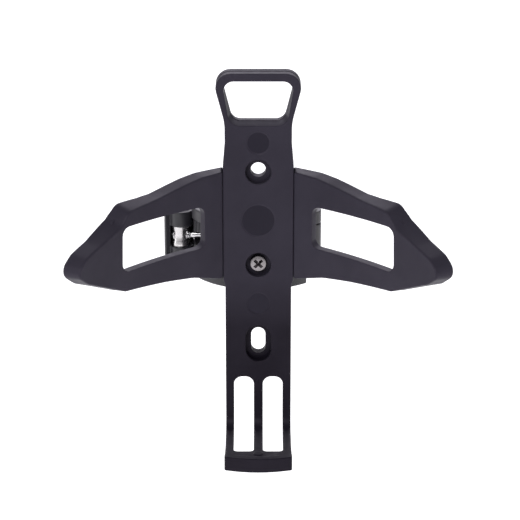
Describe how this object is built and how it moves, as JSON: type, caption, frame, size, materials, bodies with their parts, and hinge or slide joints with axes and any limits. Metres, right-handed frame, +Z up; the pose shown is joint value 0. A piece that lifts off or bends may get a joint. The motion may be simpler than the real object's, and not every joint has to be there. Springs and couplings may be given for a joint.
{
  "type": "water bottle cage",
  "caption": "Quick-release bottle cage: slotted spine with loop and shelf, two windowed spring arms, swivelling cam-lever tube clamp behind.",
  "frame": {"origin": "on the axis of the clamped tube, level with the swivel screw", "axes": "+Z up along the tube and the bottle, +Y from the bottle towards the tube, +X across the cage to the right as seen from the bottle side"},
  "size_m": [0.1296, 0.1138, 0.1354],
  "materials": {
    "cage_plastic": "moulded satin charcoal black, faint purple cast",
    "clamp_plastic": "polished moulded black",
    "screw_steel": "bright plated steel",
    "barrel_steel": "turned and polished",
    "pad_rubber": "matt black rubber",
    "washer_plastic": "dull grey-black"
  },
  "bodies": {
    "clamp": {"cradle": "clamp_plastic", "captive_nut": "screw_steel", "front_pad": "pad_rubber", "draw_bolt": "screw_steel", "bolt_washer": "screw_steel", "barrel": "barrel_steel", "swivel_screw": "screw_steel", "lock_washer": "screw_steel", "friction_washer": "washer_plastic", "hinge_pin": "barrel_steel", "pin_clip": "screw_steel"},
    "cage": {"spine": "cage_plastic"},
    "left_wing": {"left_arm": "cage_plastic"},
    "right_wing": {"right_arm": "cage_plastic"},
    "jaw": {"rear_jaw": "clamp_plastic", "rear_pad": "pad_rubber", "cam_plate": "clamp_plastic"},
    "lever": {"cam_lever": "clamp_plastic"}
  },
  "joints": [
    {"name": "cage_swivel", "type": "hinge", "parent": "clamp", "child": "cage", "pos_m": [0, -0.041, 0], "axis": [0, 1, 0], "continuous": true},
    {"name": "left_arm_flex", "type": "hinge", "parent": "cage", "child": "left_wing", "pos_m": [-0.01255, -0.048, 0.014], "axis": [0, 0, 1], "range_deg": [0, 25], "stiffness_Nm_per_rad": 0.3, "springref_deg": 24.01},
    {"name": "right_arm_flex", "type": "hinge", "parent": "cage", "child": "right_wing", "pos_m": [0.01255, -0.048, 0.014], "axis": [0, 0, -1], "range_deg": [0, 25], "stiffness_Nm_per_rad": 0.3, "springref_deg": 24.01},
    {"name": "jaw_hinge", "type": "hinge", "parent": "clamp", "child": "jaw", "pos_m": [0.0189, -0.016, 0], "axis": [0, 0, -1], "range_deg": [0, 90]},
    {"name": "lever_pivot", "type": "hinge", "parent": "clamp", "child": "lever", "pos_m": [-0.0284, -0.016, 0], "axis": [0, 0, 1], "range_deg": [0, 100]}
  ]
}
